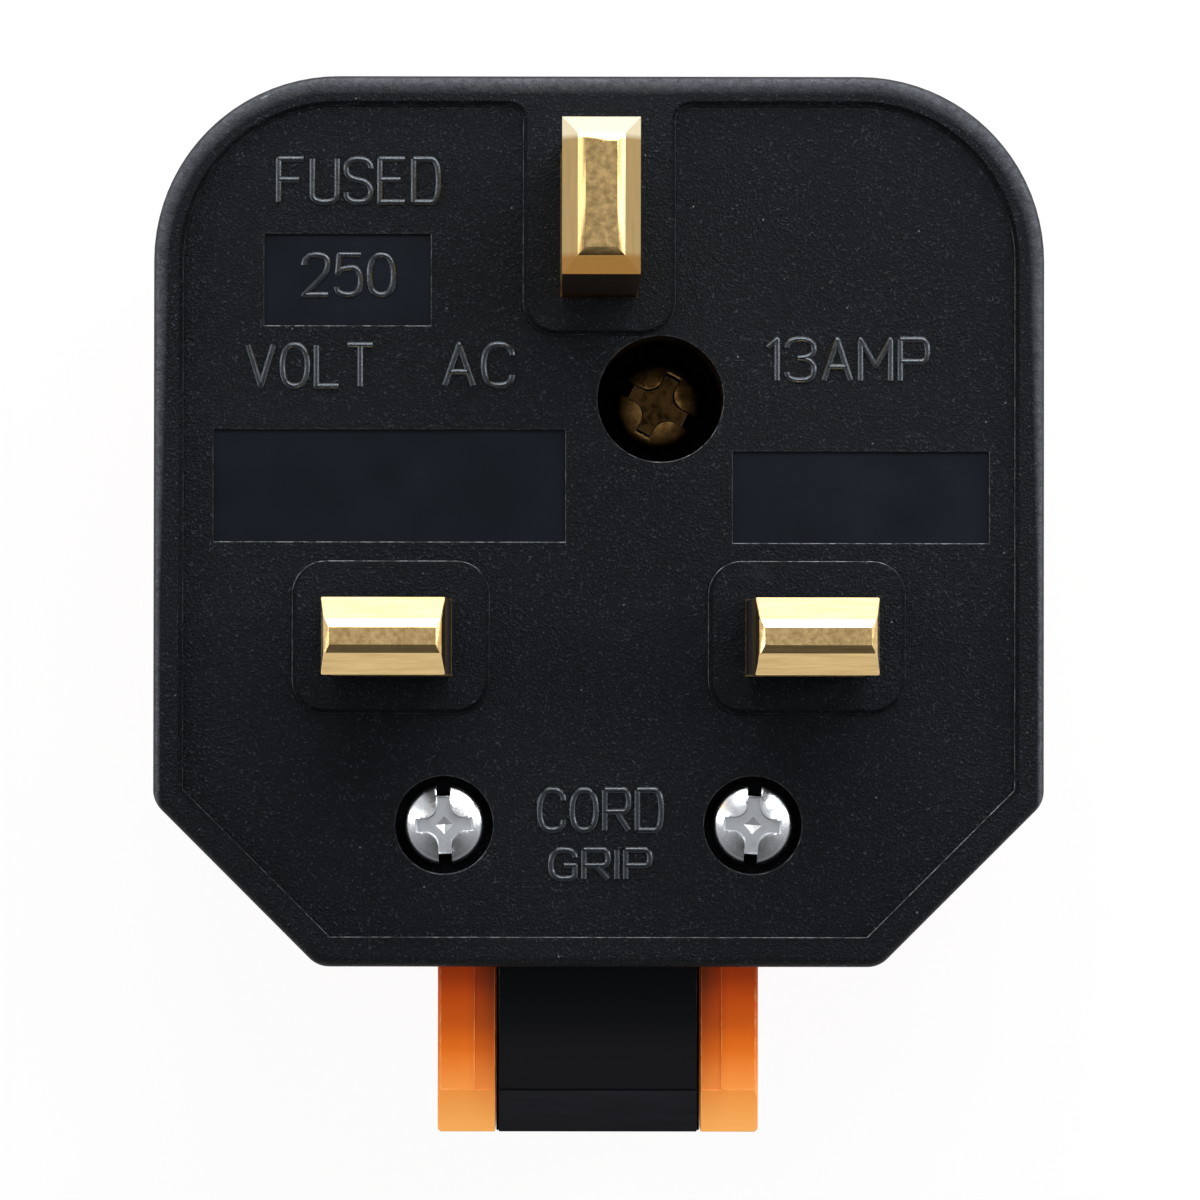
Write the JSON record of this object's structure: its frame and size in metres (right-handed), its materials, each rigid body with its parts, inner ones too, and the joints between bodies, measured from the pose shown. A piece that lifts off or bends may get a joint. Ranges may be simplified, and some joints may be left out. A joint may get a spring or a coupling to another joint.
{
  "type": "uk three pin plug",
  "caption": "Rewirable three pin mains plug with a moulded base and cover, flat brass pins, a cartridge fuse, a cord grip and a cord collar.",
  "frame": {"origin": "on the flat back of the cover, below the middle of the line between the two lower pins", "axes": "+Z along the pins, +Y from the cord collar towards the earth pin, +X to the right as seen from the pins"},
  "size_m": [0.0478, 0.0567, 0.0492],
  "materials": {
    "black_plastic": "fine spark-eroded grain, smooth panels",
    "orange_plastic": "semi-gloss moulded",
    "pin_brass": "polished",
    "sleeve_plastic": "smooth moulded",
    "clip_bronze": "spring bronze, bright",
    "fuse_ceramic": "unglazed",
    "fuse_nickel": "bright nickel plating",
    "screw_brass": "dull brass",
    "bar_plastic": "moulded",
    "plated_steel": "bright zinc plating",
    "washer_fibre": "pressed red fibre"
  },
  "bodies": {
    "root": {"base": "black_plastic", "cover": "orange_plastic", "earth_pin": "pin_brass", "neutral_pin": "pin_brass", "live_pin": "pin_brass", "live_pin_sleeve": "sleeve_plastic", "neutral_pin_sleeve": "sleeve_plastic", "live_terminal": "pin_brass", "live_pin_fuse_clip": "clip_bronze", "live_terminal_fuse_clip": "clip_bronze", "fuse_barrel": "fuse_ceramic", "fuse_cap_lower": "fuse_nickel", "fuse_cap_upper": "fuse_nickel", "terminal_screws": "screw_brass", "cord_grip_bar": "bar_plastic", "cord_grip_screws": "plated_steel", "cord_grip_nuts": "plated_steel", "cover_screw": "screw_brass", "cover_screw_insert": "screw_brass", "cover_screw_washer": "washer_fibre"}
  },
  "joints": []
}
